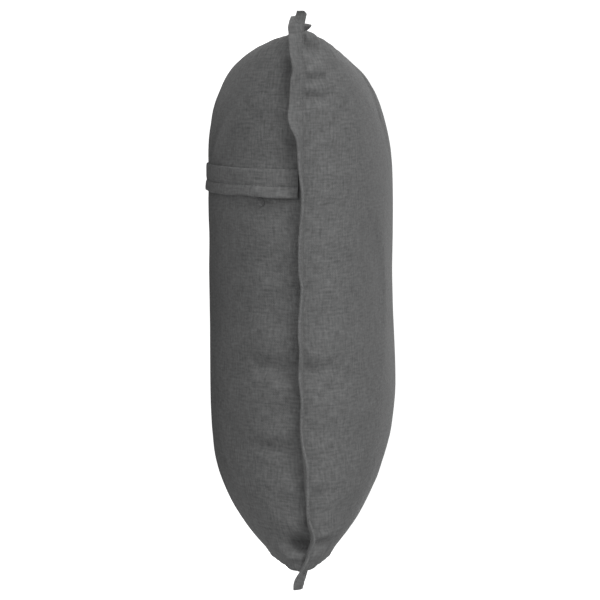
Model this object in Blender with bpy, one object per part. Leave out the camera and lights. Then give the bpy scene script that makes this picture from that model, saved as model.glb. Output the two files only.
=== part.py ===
"""A filled back cushion, 600 x 380 mm, lying on its back.

X runs along the cushion's width, Y from its lower edge to its upper edge, and Z up
through its thickness, from the back panel to the front panel. The origin is on the
flat of the back where the cushion rests, halfway along the width.
"""

import math

import bmesh
import bpy
import numpy as np

# Driving sizes, in metres
WIDTH = 0.600
HEIGHT = 0.380
FLANGE_WIDTH = 0.0125
FLANGE_THICKNESS = 0.0024
BACK_DEPTH = 0.0647
FRONT_CROWN = 0.0677
LONG_SIDE_DRAW_IN = 0.008
SHORT_SIDE_DRAW_IN = 0.015
SEAM_RIM = 0.0016
FLAP_WIDTH = 0.019
FLAP_LOWER_EDGE = 0.0740
FLAP_DROOP = 0.005
FLAP_THICKNESS = 0.0013
PULL_LENGTH = 0.0055
PULL_WIDTH = 0.0044
PULL_THICKNESS = 0.0010
PULL_BELOW_SEAM = 0.024
LIFT_START = 0.008
LIFT_LENGTH = 0.040
CLEARANCE = 0.0003

# How full the cushion is: exponents of the rounded panels, larger is squarer. The ease
# lets a panel leave the short seams at a slant.
DRAW_IN_SHAPE = 1.9
WIDTH_SQUARENESS = 2.3
WIDTH_ROUNDING = 0.20
SEAM_EASE = 0.02
TOP_SQUARENESS = 4.45
BOTTOM_SQUARENESS = 3.45
TOP_ROUNDING = {"front": 0.37, "back": 0.33}
BOTTOM_ROUNDING = {"front": 0.33, "back": 0.33}
# Where the two panels are a little fuller or leaner than their arches, from the bottom
# seam, at height -1, to the top seam, at height 1
TRIM_COLUMNS = ("height", "front", "back")
TRIM_ROWS = (
    (-1.000, 1.22, 1.23),
    (-0.988, 1.15, 1.18),
    (-0.980, 0.99, 1.04),
    (-0.970, 0.92, 0.97),
    (-0.955, 0.92, 0.95),
    (-0.925, 0.92, 0.96),
    (-0.880, 0.925, 0.97),
    (-0.845, 0.945, 0.975),
    (-0.800, 0.965, 0.985),
    (-0.750, 0.985, 0.99),
    (-0.650, 1.010, 1.00),
    (-0.450, 1.015, 1.00),
    (-0.270, 1.000, 0.98),
    (-0.120, 0.988, 0.965),
    (0.060, 0.985, 0.965),
    (0.200, 0.995, 0.99),
    (0.320, 1.000, 1.02),
    (0.600, 1.010, 1.02),
    (0.720, 1.005, 0.99),
    (0.840, 1.005, 0.985),
    (0.900, 1.000, 0.99),
    (0.950, 0.985, 1.01),
    (1.000, 1.020, 1.02),
)
TRIM_SOFTNESS = 0.012
BACK_FULLNESS = 1.14
REST_SOFTNESS = 0.05

# The seam line sways towards the front panel along the sides and near the corners
SHORT_SIDE_SWAY = 0.0026
LONG_SIDE_SWAY = 0.0008
LOW_CORNER_SWAY = 0.0022
LOW_CORNER_PLACE = -0.82
LOW_CORNER_REACH = 0.14
TOP_CORNER_SWAY = 0.0062
TOP_CORNER_START = -0.3
TOP_CORNER_POWER = 1.6

# Mesh steps of the panels, the flange and the flap
STEPS_ALONG_WIDTH = 46
STEPS_ALONG_HEIGHT = 36
EDGE_CROWDING = 2.3
FLANGE_STEP = 0.012
CORNER_MITRE = 0.92
PULL_TURN_POINTS = 9

HALF_SEAM_WIDTH = WIDTH / 2 - FLANGE_WIDTH
HALF_SEAM_HEIGHT = HEIGHT / 2 - FLANGE_WIDTH
FLAP_LIFT = FLAP_THICKNESS + CLEARANCE

# Soft folds that run in from the seam. Along is the place on that side, from -1 to 1
# in the direction of +X or +Y, and reach is how far the fold runs up the panel's fill.
FOLD_COLUMNS = ("side", "panel", "along", "width", "depth", "reach")
FOLDS = (
    ("near", "front", 0.84, 0.0070, 0.0026, 0.30),
    ("near", "front", 0.74, 0.0060, 0.0024, 0.28),
    ("near", "front", 0.63, 0.0080, 0.0016, 0.34),
    ("near", "front", 0.05, 0.0080, 0.0018, 0.38),
    ("near", "front", -0.24, 0.0090, 0.0024, 0.42),
    ("near", "front", -0.76, 0.0070, 0.0026, 0.30),
    ("near", "front", -0.90, 0.0060, 0.0024, 0.26),
    ("near", "back", 0.03, 0.0090, 0.0020, 0.36),
    ("near", "back", -0.27, 0.0100, 0.0030, 0.45),
    ("near", "back", -0.56, 0.0090, 0.0024, 0.42),
    ("near", "back", -0.90, 0.0070, 0.0048, 0.32),
    ("far", "front", 0.80, 0.0070, 0.0024, 0.30),
    ("far", "front", 0.42, 0.0090, 0.0020, 0.36),
    ("far", "front", -0.12, 0.0100, 0.0024, 0.40),
    ("far", "front", -0.62, 0.0080, 0.0022, 0.34),
    ("far", "front", -0.86, 0.0060, 0.0024, 0.28),
    ("far", "back", 0.12, 0.0090, 0.0022, 0.36),
    ("far", "back", -0.38, 0.0100, 0.0026, 0.42),
    ("far", "back", -0.78, 0.0080, 0.0024, 0.32),
    ("top", "front", -0.88, 0.0080, 0.0024, 0.28),
    ("top", "front", -0.52, 0.0110, 0.0022, 0.34),
    ("top", "front", -0.08, 0.0120, 0.0020, 0.36),
    ("top", "front", 0.37, 0.0110, 0.0024, 0.36),
    ("top", "front", 0.81, 0.0090, 0.0022, 0.30),
    ("top", "back", -0.70, 0.0110, 0.0022, 0.32),
    ("top", "back", -0.20, 0.0120, 0.0020, 0.36),
    ("top", "back", 0.55, 0.0110, 0.0024, 0.34),
    ("bottom", "front", -0.80, 0.0090, 0.0024, 0.30),
    ("bottom", "front", -0.33, 0.0120, 0.0026, 0.38),
    ("bottom", "front", 0.18, 0.0120, 0.0022, 0.36),
    ("bottom", "front", 0.72, 0.0100, 0.0024, 0.32),
    ("bottom", "back", -0.58, 0.0120, 0.0026, 0.36),
    ("bottom", "back", 0.02, 0.0130, 0.0022, 0.38),
    ("bottom", "back", 0.61, 0.0110, 0.0024, 0.34),
)

# Across the flange, from its root to its edge: place, and part of its thickness to each
# side
FLANGE_SECTION = (
    (0.00, 0.50),
    (0.16, 0.50),
    (0.40, 0.50),
    (0.68, 0.50),
    (0.93, 0.45),
    (1.00, 0.16),
)
FLANGE_BEND = 0.15
# How far the flange leans to the back, in degrees, at places along three of its sides
NEAR_SIDE_LEAN = (
    (0.1775, 44),
    (0.1670, 47),
    (0.1567, 35),
    (0.1515, 27),
    (0.1450, 39),
    (0.1306, 44),
    (0.1228, 51),
    (0.1175, 46),
    (0.1137, 35),
    (0.1097, 20),
    (0.1040, 14),
    (0.0940, 12),
    (0.0728, -1),
    (0.0620, -1),
    (0.0410, 9),
    (0.0200, 9),
    (0.0094, -1),
    (-0.0120, 9),
    (-0.0330, 4),
    (-0.0490, 9),
    (-0.0650, -1),
    (-0.0806, 4),
    (-0.0964, -4),
    (-0.1380, -9),
    (-0.1488, -18),
    (-0.1545, -23),
    (-0.1605, -11),
    (-0.1680, 2),
    (-0.1775, 23),
)
TOP_SIDE_LEAN = (
    (-0.2875, 0),
    (-0.2700, 0),
    (-0.2440, 18),
    (-0.2300, -40),
    (-0.2120, -18),
    (-0.1950, 2),
    (-0.1500, 12),
    (-0.0500, -8),
    (0.0500, 14),
    (0.1500, -8),
    (0.2500, 12),
    (0.2875, 10),
)
BOTTOM_SIDE_LEAN = (
    (-0.2875, 1),
    (-0.2550, -4),
    (-0.2100, -8),
    (-0.1250, 15),
    (-0.0200, -6),
    (0.0800, 16),
    (0.1750, -8),
    (0.2600, 14),
    (0.2875, 18),
)
LEAN_ROUNDING = 0.004
# Mean lean, depth of the wave, its count along the side and its shift, for the far side
WAVE_COLUMNS = ("mean", "depth", "waves", "shift")
FAR_SIDE_WAVE = (8, 14, 4.5, 0.4)

# Across the flap, from its sewn edge to its free edge: place, and part of its thickness
FLAP_PROFILE = (
    (0.00, 0.45),
    (0.07, 1.00),
    (0.52, 1.00),
    (0.60, 0.50),
    (0.68, 1.00),
    (0.94, 1.00),
    (1.00, 0.45),
)
FLAP_INNER_STEPS = (1.00, 0.60, 0.30, 0.00)
FLAP_END_GAP = 1.5e-5


def clear_scene():
    """Remove every object of the scene that the file opened with."""
    for thing in list(bpy.data.objects):
        bpy.data.objects.remove(thing, do_unlink=True)


def cloth_material(name, color, roughness=0.92):
    """A matt woven cloth: one colour, no metal and little shine."""
    material = bpy.data.materials.new(name)
    material.use_nodes = True
    shader = material.node_tree.nodes["Principled BSDF"]
    shader.inputs["Base Color"].default_value = (*color, 1.0)
    shader.inputs["Roughness"].default_value = roughness
    shader.inputs["Metallic"].default_value = 0.0
    material.diffuse_color = (*color, 1.0)
    return material


def add_piece(name, points, faces, material):
    """A smooth-shaded mesh object of these points and faces, linked to the scene."""
    mesh = bpy.data.meshes.new(name)
    mesh.from_pydata(points.tolist(), [], faces.tolist())
    mesh.materials.append(material)
    mesh.shade_smooth()
    mesh.update()
    piece = bpy.data.objects.new(name, mesh)
    bpy.context.scene.collection.objects.link(piece)
    return piece


def read_softly(places, known, values, softness):
    """Values of a short table at the places, straight between rows and rounded at them."""
    shifts = np.linspace(-softness, softness, 7)
    return np.mean([np.interp(places + shift, known, values) for shift in shifts], axis=0)


def smooth_step(value):
    """0 below 0, 1 above 1, and an even S between them."""
    held = np.clip(value, 0.0, 1.0)
    return held * held * (3.0 - 2.0 * held)


def crowded(steps):
    """Steps from -1 to 1 that crowd towards both ends, where the panels turn steeply."""
    even = np.linspace(-1.0, 1.0, steps + 1)
    return np.sign(even) * (1.0 - (1.0 - np.abs(even)) ** EDGE_CROWDING)


def half_width_at(v):
    """Half the seam's width at height v, drawn in by a bow between the corners."""
    return HALF_SEAM_WIDTH - SHORT_SIDE_DRAW_IN * (1.0 - np.abs(v) ** DRAW_IN_SHAPE)


def half_height_at(u):
    """Half the seam's height at width u, drawn in by a bow between the corners."""
    return HALF_SEAM_HEIGHT - LONG_SIDE_DRAW_IN * (1.0 - np.abs(u) ** DRAW_IN_SHAPE)


def seam_z(u, v):
    """Height of the seam line: level, plus bows to the front along each side.

    Each short side also climbs towards its top corner and has a low hump near its
    bottom one.
    """
    short_side = SHORT_SIDE_SWAY * (1.0 - v * v)
    climb = np.clip((v - TOP_CORNER_START) / (1.0 - TOP_CORNER_START), 0.0, 1.0)
    top_corner = TOP_CORNER_SWAY * climb ** TOP_CORNER_POWER
    low_corner = LOW_CORNER_SWAY * np.exp(-(((v - LOW_CORNER_PLACE) / LOW_CORNER_REACH) ** 2))
    long_side = LONG_SIDE_SWAY * np.abs(v) ** 6 * (1.0 - u * u)
    return BACK_DEPTH + np.abs(u) ** 6 * (short_side + top_corner + low_corner) + long_side


def fill_across(u):
    """Part of the full thickness at width u: (1 - |u|^squareness + ease)^rounding.

    It is shifted and scaled to run from 0 to 1.
    """
    arch = np.maximum(1.0 - np.abs(u) ** WIDTH_SQUARENESS, 0.0)
    low, high = SEAM_EASE ** WIDTH_ROUNDING, (1.0 + SEAM_EASE) ** WIDTH_ROUNDING
    return ((arch + SEAM_EASE) ** WIDTH_ROUNDING - low) / (high - low)


def fill_along(v, panel):
    """Part of the full thickness at height v: (1 - |v|^squareness)^rounding, trimmed."""
    squareness = np.where(v > 0.0, TOP_SQUARENESS, BOTTOM_SQUARENESS)
    rounding = np.where(v > 0.0, TOP_ROUNDING[panel], BOTTOM_ROUNDING[panel])
    heights = [row[0] for row in TRIM_ROWS]
    trims = [row[TRIM_COLUMNS.index(panel)] for row in TRIM_ROWS]
    arch = np.maximum(1.0 - np.abs(v) ** squareness, 0.0) ** rounding
    return arch * read_softly(v, heights, trims, TRIM_SOFTNESS)


def flattened(depth):
    """1 less depth, held at 0 past 1 with a short curved change between the two."""
    change = (1.0 + REST_SOFTNESS - depth) ** 2 / (4.0 * REST_SOFTNESS)
    low = np.where(depth < 1.0 + REST_SOFTNESS, change, 0.0)
    return np.where(depth < 1.0 - REST_SOFTNESS, 1.0 - depth, low)


def flap_lift(y):
    """The back stands off the surface above its middle, by the flap's thickness."""
    return FLAP_LIFT * smooth_step((y - LIFT_START) / LIFT_LENGTH)


def smooth_panel(u, v, panel):
    """Points of one panel before its folds.

    The outline is the drawn-in seam rectangle. The front rises from the seam by the
    product of the two arches. The back falls by the same product, overfilled and then
    pressed level where the cushion rests.
    """
    x = u * half_width_at(v)
    y = v * half_height_at(u)
    fill = fill_across(u) * fill_along(v, panel)
    if panel == "front":
        z = seam_z(u, v) + SEAM_RIM + (FRONT_CROWN - SEAM_RIM) * fill
    else:
        lift = flap_lift(y)
        z = lift + (seam_z(u, v) - SEAM_RIM - lift) * flattened(BACK_FULLNESS * fill)
    return np.stack([x, y, z], axis=-1)


def outward(u, v, panel):
    """Unit normals of a smooth panel, from small steps along u and v."""
    step = 1e-5
    nearest = 1.0 - 2.0 * step
    u_in = np.clip(u, -nearest, nearest)
    v_in = np.clip(v, -nearest, nearest)
    along_u = smooth_panel(u_in + step, v_in, panel) - smooth_panel(u_in - step, v_in, panel)
    along_v = smooth_panel(u_in, v_in + step, panel) - smooth_panel(u_in, v_in - step, panel)
    normal = np.cross(along_u, along_v)
    if panel == "back":
        normal = -normal
    return normal / np.linalg.norm(normal, axis=-1, keepdims=True)


def fold_depth(u, v, panel):
    """Sum of the soft folds.

    Each is a trough across its side, a bell curve of its width, that deepens from
    nothing at the seam to its depth at its reach and dies away up the panel.
    """
    across, along = fill_across(u), fill_along(v, panel)
    fill = across * along
    depth = np.zeros(np.broadcast(u, v).shape)
    for row in FOLDS:
        fold = dict(zip(FOLD_COLUMNS, row))
        if fold["panel"] != panel:
            continue
        if fold["side"] in ("near", "far"):
            sign = -1.0 if fold["side"] == "near" else 1.0
            arch, here, half = across, v, HALF_SEAM_HEIGHT
            on_side = smooth_step((u * sign - 0.4) / 0.4)
        else:
            sign = 1.0 if fold["side"] == "top" else -1.0
            arch, here, half = along, u, HALF_SEAM_WIDTH
            on_side = smooth_step((v * sign - 0.3) / 0.4)
        bell = np.exp(-(((here - fold["along"]) * half / fold["width"]) ** 2))
        rise = arch / fold["reach"] * np.exp(1.0 - arch / fold["reach"])
        depth += fold["depth"] * bell * rise * (1.0 - fill) * on_side
    return depth


def folded_panel(u, v, panel):
    """A panel with its folds pressed in along its normals, level where it rests."""
    points = smooth_panel(u, v, panel)
    sunk = fold_depth(u, v, panel)[..., None] * outward(u, v, panel)
    if panel == "back":
        resting = BACK_FULLNESS * fill_across(u) * fill_along(v, panel) >= 1.0 + REST_SOFTNESS
        sunk = np.where(resting[..., None], 0.0, sunk)
    return points - sunk


def make_cushion(material):
    """The filled solid: a front and a back grid, joined by a narrow band at the seam."""
    u, v = np.meshgrid(crowded(STEPS_ALONG_WIDTH), crowded(STEPS_ALONG_HEIGHT), indexing="ij")
    front = folded_panel(u, v, "front")
    back = folded_panel(u, v, "back")
    columns, rows = u.shape
    index = np.arange(columns * rows).reshape(columns, rows)
    corner, across = index[:-1, :-1], index[1:, :-1]
    diagonal, along = index[1:, 1:], index[:-1, 1:]
    front_faces = np.stack([corner, across, diagonal, along], axis=-1).reshape(-1, 4)
    back_faces = front_faces[:, ::-1] + index.size
    rim = np.concatenate([index[:-1, 0], index[-1, :-1], index[:0:-1, -1], index[0, :0:-1]])
    following = np.roll(rim, -1)
    band = np.stack([rim, rim + index.size, following + index.size, following], axis=-1)
    points = np.concatenate([front.reshape(-1, 3), back.reshape(-1, 3)])
    return add_piece("cushion", points, np.concatenate([front_faces, back_faces, band]), material)


def tube_faces(stations, ring, closed_loop):
    """Faces between the rings of a section carried along a path, with ends filled."""
    faces = []
    spans = stations if closed_loop else stations - 1
    first = np.arange(spans)[:, None] * ring
    second = (np.arange(spans)[:, None] + 1) % stations * ring
    here = np.arange(ring)[None, :]
    beside = (here + 1) % ring
    quads = np.stack([first + here, first + beside, second + beside, second + here], axis=-1)
    faces = quads.reshape(-1, 4).tolist()
    if not closed_loop:
        faces.append(list(range(ring))[::-1])
        faces.append([(stations - 1) * ring + i for i in range(ring)])
    return faces


def add_loft(name, rings, closed_loop, material):
    """A closed solid through rings of points, one ring for each station."""
    stations, ring = rings.shape[:2]
    mesh = bpy.data.meshes.new(name)
    faces = tube_faces(stations, ring, closed_loop)
    mesh.from_pydata(rings.reshape(-1, 3).tolist(), [], faces)
    shell = bmesh.new()
    shell.from_mesh(mesh)
    bmesh.ops.recalc_face_normals(shell, faces=shell.faces)
    shell.to_mesh(mesh)
    shell.free()
    mesh.materials.append(material)
    mesh.shade_smooth()
    mesh.set_sharp_from_angle(angle=math.radians(50))
    mesh.update()
    piece = bpy.data.objects.new(name, mesh)
    bpy.context.scene.collection.objects.link(piece)
    return piece


def wave_lean(place, wave):
    """Lean in degrees along a side: a mean and two waves of unlike length."""
    row = dict(zip(WAVE_COLUMNS, wave))
    turn = math.pi * row["waves"] * place + row["shift"]
    return row["mean"] + row["depth"] * (0.7 * np.sin(turn) + 0.3 * np.sin(2.3 * turn))


def table_lean(places, table):
    """Lean at places along a side, from a table of (place, lean)."""
    rows = sorted(table)
    return read_softly(places, [row[0] for row in rows], [row[1] for row in rows], LEAN_ROUNDING)


def leant_drop(beyond, lean):
    """How far the flange drops to the back at a distance beyond the seam's line.

    It leaves the seam level, bends within the first sixth of its width, and goes on
    straight at its lean.
    """
    share = np.maximum(beyond, 0.0) / (FLANGE_WIDTH * np.cos(lean))
    straight = share - FLANGE_BEND * (1.0 - np.exp(-share / FLANGE_BEND))
    return FLANGE_WIDTH * np.sin(lean) * straight / (1.0 - FLANGE_BEND)


def flange_stations():
    """The seam line in order round the cushion, with each station's way out and lean.

    Each side runs from one corner to the next. At a corner the way out is the
    diagonal, so that the flange's outer edge meets in a mitre.
    """
    along_width = np.linspace(-1.0, 1.0, round(2 * HALF_SEAM_WIDTH / FLANGE_STEP) + 1)
    along_height = np.linspace(-1.0, 1.0, round(2 * HALF_SEAM_HEIGHT / FLANGE_STEP) + 1)
    sides = (
        (along_width, -np.ones_like(along_width), (0.0, -1.0), (-CORNER_MITRE, -1.0)),
        (np.ones_like(along_height), along_height, (1.0, 0.0), (CORNER_MITRE, -1.0)),
        (along_width[::-1], np.ones_like(along_width), (0.0, 1.0), (1.0, CORNER_MITRE)),
        (-np.ones_like(along_height), along_height[::-1], (-1.0, 0.0), (-1.0, CORNER_MITRE)),
    )
    u, v, way = [], [], []
    for side_u, side_v, straight, corner in sides:
        u.append(side_u[:-1])
        v.append(side_v[:-1])
        ways = np.tile(straight, (len(side_u) - 1, 1))
        ways[0] = corner
        way.append(ways)
    return np.concatenate(u), np.concatenate(v), np.concatenate(way)


def make_flange(material):
    """The flat flange: a thin strip round the seam that leans and waves.

    A station's section starts square to the seam, a clearance outside the cushion, and
    drops by the lean of each side beyond which it reaches. Its thickness narrows at the
    edge.
    """
    u, v, way = flange_stations()
    root = np.stack([u * half_width_at(v), v * half_height_at(u), seam_z(u, v)], axis=-1)
    side_lean = np.where(u < 0, table_lean(root[:, 1], NEAR_SIDE_LEAN), wave_lean(v, FAR_SIDE_WAVE))
    end_lean = np.where(v < 0, table_lean(root[:, 0], BOTTOM_SIDE_LEAN), table_lean(root[:, 0], TOP_SIDE_LEAN))
    side_lean, end_lean = np.radians(side_lean), np.radians(end_lean)
    middle = []
    for across, _ in FLANGE_SECTION:
        x = root[:, 0] + way[:, 0] * (CLEARANCE + across * FLANGE_WIDTH * np.cos(side_lean))
        y = root[:, 1] + way[:, 1] * (CLEARANCE + across * FLANGE_WIDTH * np.cos(end_lean))
        drop = leant_drop(np.abs(x) - half_width_at(v) - CLEARANCE, side_lean)
        drop = drop + leant_drop(np.abs(y) - half_height_at(u) - CLEARANCE, end_lean)
        middle.append(np.stack([x, y, root[:, 2] - drop], axis=-1))
    middle = np.stack(middle)
    normal = np.cross(np.gradient(middle, axis=0), np.roll(middle, -1, axis=1) - np.roll(middle, 1, axis=1))
    normal[0] = (0.0, 0.0, 1.0)
    normal /= np.linalg.norm(normal, axis=-1, keepdims=True)
    halves = np.array([half for _, half in FLANGE_SECTION])[:, None, None] * FLANGE_THICKNESS
    front, back = middle + normal * halves, middle - normal * halves
    rings = np.concatenate([front[::-1], back]).transpose(1, 0, 2)
    return add_loft("flange", rings, True, material)


def back_surface(u, y):
    """Points and normals of the smooth back at width u and a true height y."""
    v = y / half_height_at(u)
    return smooth_panel(u, v, "back"), outward(u, v, "back")


def flap_droop(u):
    """How far the flap hangs down at width u, by the cube of the place."""
    return FLAP_DROOP * np.abs(u) ** 3


def make_flap(material):
    """The closure's flap: a doubled strip across the back with one stitched groove."""
    u = crowded(STEPS_ALONG_WIDTH)[1:-1]
    u = np.concatenate([[-1.0 + FLAP_END_GAP], u, [1.0 - FLAP_END_GAP]])
    ring = []
    outer = [(across, CLEARANCE + height * FLAP_THICKNESS) for across, height in FLAP_PROFILE]
    inner = [(across, CLEARANCE) for across in FLAP_INNER_STEPS]
    for across, height in outer + inner:
        y = FLAP_LOWER_EDGE + FLAP_WIDTH * (1.0 - across) - flap_droop(u)
        points, normals = back_surface(u, y)
        ring.append(points + normals * height)
    return add_loft("zip_flap", np.stack(ring, axis=1), False, material)


def make_pull(material):
    """The tip of the slider's tab: a thin rounded tongue below the flap's free edge."""
    places = np.linspace(-1.0, 0.0, 2001)
    depth = BACK_DEPTH * BACK_FULLNESS * fill_across(places)
    u = float(np.interp(PULL_BELOW_SEAM, depth, places))
    top = FLAP_LOWER_EDGE - flap_droop(u) - CLEARANCE
    straight = PULL_LENGTH - PULL_WIDTH / 2
    turn = np.linspace(0.0, math.pi, PULL_TURN_POINTS)
    drop = np.concatenate([[0.0], straight + PULL_WIDTH / 2 * np.sin(turn), [0.0]])
    side = np.concatenate([[0.5], 0.5 * np.cos(turn), [-0.5]]) * PULL_WIDTH
    point, normal = back_surface(np.array([u]), np.array([top - PULL_LENGTH / 2]))
    up_wall = np.array([-normal[0][2], 0.0, normal[0][0]])
    up_wall /= np.linalg.norm(up_wall)
    rings = []
    for height, shrink in ((0.0, 1.0), (0.8, 1.0), (1.0, 0.85)):
        base = point[0] + normal[0] * (1.5 * CLEARANCE + height * PULL_THICKNESS)
        ring = base + np.outer(side * shrink, up_wall)
        ring[:, 1] = top - drop * (0.5 + 0.5 * shrink)
        rings.append(ring)
    rings = np.stack(rings, axis=0)
    return add_loft("zip_pull", rings, False, material)


def main():
    clear_scene()
    grey = cloth_material("grey_linen_look_cloth", (0.115, 0.117, 0.117))
    edge_grey = cloth_material("grey_flange_cloth", (0.118, 0.120, 0.120))
    flap_grey = cloth_material("grey_flap_cloth", (0.110, 0.112, 0.112))
    dark_grey = cloth_material("dark_grey_tab", (0.045, 0.046, 0.047), roughness=0.6)
    make_cushion(grey)
    make_flange(edge_grey)
    make_flap(flap_grey)
    make_pull(dark_grey)


main()
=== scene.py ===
import math

import bmesh
import bpy
import numpy as np
from mathutils import Matrix, Vector


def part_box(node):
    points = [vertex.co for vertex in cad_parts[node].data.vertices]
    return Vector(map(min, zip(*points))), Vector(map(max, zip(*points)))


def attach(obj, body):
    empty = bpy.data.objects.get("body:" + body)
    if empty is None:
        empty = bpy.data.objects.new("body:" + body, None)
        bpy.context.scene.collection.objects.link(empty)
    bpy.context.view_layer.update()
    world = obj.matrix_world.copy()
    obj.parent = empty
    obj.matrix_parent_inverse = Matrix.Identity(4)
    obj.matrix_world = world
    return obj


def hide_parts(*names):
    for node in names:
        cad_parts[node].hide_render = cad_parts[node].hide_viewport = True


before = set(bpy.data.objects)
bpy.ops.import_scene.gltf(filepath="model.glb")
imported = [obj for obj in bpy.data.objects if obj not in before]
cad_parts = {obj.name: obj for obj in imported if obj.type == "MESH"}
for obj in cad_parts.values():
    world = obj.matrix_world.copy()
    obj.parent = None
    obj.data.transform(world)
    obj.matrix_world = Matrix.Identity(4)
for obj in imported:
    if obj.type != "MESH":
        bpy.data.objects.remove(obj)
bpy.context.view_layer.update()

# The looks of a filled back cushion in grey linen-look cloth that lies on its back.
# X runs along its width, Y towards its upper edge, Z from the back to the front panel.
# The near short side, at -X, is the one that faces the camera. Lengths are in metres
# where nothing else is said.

# Sizes read from the frame
CUSHION_LOW, CUSHION_HIGH = np.array(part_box("cushion"))
FLAP_LOW, FLAP_HIGH = np.array(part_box("zip_flap"))
PULL_LOW, PULL_HIGH = np.array(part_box("zip_pull"))
HALF_SEAM_WIDTH = (CUSHION_HIGH[0] - CUSHION_LOW[0]) / 2
HALF_SEAM_HEIGHT = (CUSHION_HIGH[1] - CUSHION_LOW[1]) / 2
THICKNESS = CUSHION_HIGH[2] - CUSHION_LOW[2]
FLANGE_SPARE = 0.0002
FLANGE_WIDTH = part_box("flange")[1][0] - HALF_SEAM_WIDTH + FLANGE_SPARE
FLAP_DROOP = 0.005
FLAP_LOWER_EDGE = FLAP_LOW[1] + FLAP_DROOP
FLAP_WIDTH = FLAP_HIGH[1] - FLAP_LOW[1] - FLAP_DROOP

# Sizes of the sewn cover
BACK_DEPTH = 0.0647
FRONT_CROWN = THICKNESS - BACK_DEPTH
LONG_SIDE_DRAW_IN = 0.008
SHORT_SIDE_DRAW_IN = 0.015
SEAM_PINCH = 0.0009
FLANGE_HALF = 0.0010
FLAP_THICKNESS = 0.0013
FLAP_CLEARANCE = 0.0002
FLAP_LIFT = 0.0016
LIFT_START = 0.008
LIFT_LENGTH = 0.040

# How full the panels are: exponents of their arches, larger is squarer
DRAW_IN_SHAPE = 1.9
WIDTH_SQUARENESS = 2.3
WIDTH_ROUNDING = 0.20
SEAM_EASE = 0.02
TOP_SQUARENESS = 4.45
BOTTOM_SQUARENESS = 3.45
TOP_ROUNDING = {"front": 0.37, "back": 0.33}
BOTTOM_ROUNDING = {"front": 0.33, "back": 0.33}
# Factors of the two panels' arches, from the bottom seam, at height -1, to the top seam
TRIM_COLUMNS = ("height", "front", "back")
TRIM_ROWS = (
    (-1, 1.22, 1.23), (-0.988, 1.15, 1.18), (-0.98, 0.975, 1.03), (-0.97, 0.89, 0.955),
    (-0.955, 0.89, 0.935), (-0.925, 0.91, 0.955), (-0.88, 0.935, 0.985), (-0.845, 0.95, 0.985),
    (-0.8, 0.965, 0.985), (-0.75, 0.985, 0.99), (-0.65, 1.01, 1), (-0.45, 1.015, 1), (-0.27, 1, 0.98),
    (-0.12, 0.988, 0.965), (0.06, 0.985, 0.965), (0.2, 0.995, 0.99), (0.32, 1, 1.02),
    (0.6, 1.01, 1.02), (0.72, 1.003, 0.983), (0.84, 1.003, 0.974), (0.9, 0.992, 0.992),
    (0.94, 0.97, 1.005), (0.965, 1.01, 1.005), (0.98, 1.1, 1), (0.99, 1.19, 1), (1, 1.22, 1),
)
TRIM_SOFTNESS = 0.012
BACK_FULLNESS = 1.14
REST_SOFTNESS = 0.05

# How far the seam sways to the front: the long sides in a bow, the short ones in a bow, a
# climb to the top corner and humps by the low one, with their place, width and depth
LONG_SIDE_SWAY = 0.0008
SHORT_SIDE_SWAY = 0.0026
TOP_CORNER_SWAY = 0.0062
CLIMB_START = -0.3
CLIMB_POWER = 1.6
BOTH_SIDES_HUMPS = ((-0.82, 0.14, 0.0022),)
NEAR_SIDE_HUMPS = ((-0.878, 0.036, 0.0030),)
SWAY_POWER = 6
# How far the near seam alone lies further to the front: height and distance
NEAR_SEAM_BEND = (
    (-1, 0), (-0.978, 0.0008), (-0.955, 0.0028), (-0.93, 0.0032), (-0.885, 0.0021), (-0.84, 0.0023),
    (-0.79, 0.002), (-0.7, 0.0019), (-0.62, 0.0015), (-0.57, 0.001), (-0.5, 0),
)
BEND_POWER = 24
BEND_ROUNDING = 0.012

# Where the thread has gathered the seam of a short side, so that it lies further in with
# the cloth beside it: place along the side, width and depth
GATHERS = {
    "near": (
        (0.1335, 0.009, 0.0026), (-0.048, 0.007, 0.002), (-0.136, 0.004, 0.0006),
        (-0.1605, 0.0055, 0.0026),
    ),
    "far": (
        (0.118, 0.008, 0.002), (0.015, 0.007, 0.0015), (-0.095, 0.009, 0.0024),
    ),
}
GATHER_FADE = 0.024

# Mesh steps
COVER_STEPS = (244, 166)
COVER_CROWDING = 0.68
SETTLE_STEPS = (112, 82)
SETTLE_CROWDING = 0.25
FLAP_STEPS = 300
FLAP_CROWDING = 0.2
FINE_STEPS = 4000
NORMAL_STEP = 2e-4


# Curves that the shapes share

def smooth_step(value, start=0.0, length=1.0):
    """0 up to the start, 1 from a length past it on, and an even S between them."""
    held = np.clip((value - start) / length, 0.0, 1.0)
    return held * held * (3.0 - 2.0 * held)


def bell(value, centre, breadth):
    """exp(-((value - centre) / breadth)^2): 1 at the centre and falling on both sides."""
    return np.exp(-(((value - centre) / breadth) ** 2))


def bells(values, rows):
    """Sum of depth * bell(value, place, width) over rows of place, width and depth."""
    return sum(depth * bell(values, place, width) for place, width, depth in rows)


def length_along(paths):
    """Lengths from the start of each path to its points, summed along the first axis."""
    steps = np.linalg.norm(np.diff(paths, axis=0), axis=-1)
    return np.concatenate([np.zeros_like(steps[:1]), np.cumsum(steps, axis=0)])


def unit(vectors):
    """The vectors divided by their lengths."""
    return vectors / np.maximum(np.linalg.norm(vectors, axis=-1, keepdims=True), 1e-12)


def read_table(places, table, rounding, column=1):
    """Values of a table's column at the places, from rows that start with their place.

    They run straight between the rows and are averaged over the rounding on both sides.
    """
    rows = sorted(table)
    known, values = [row[0] for row in rows], [row[column] for row in rows]
    shifts = np.linspace(-rounding, rounding, 7)
    return np.mean([np.interp(places + shift, known, values) for shift in shifts], axis=0)


# Shape of the filled cover

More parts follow.
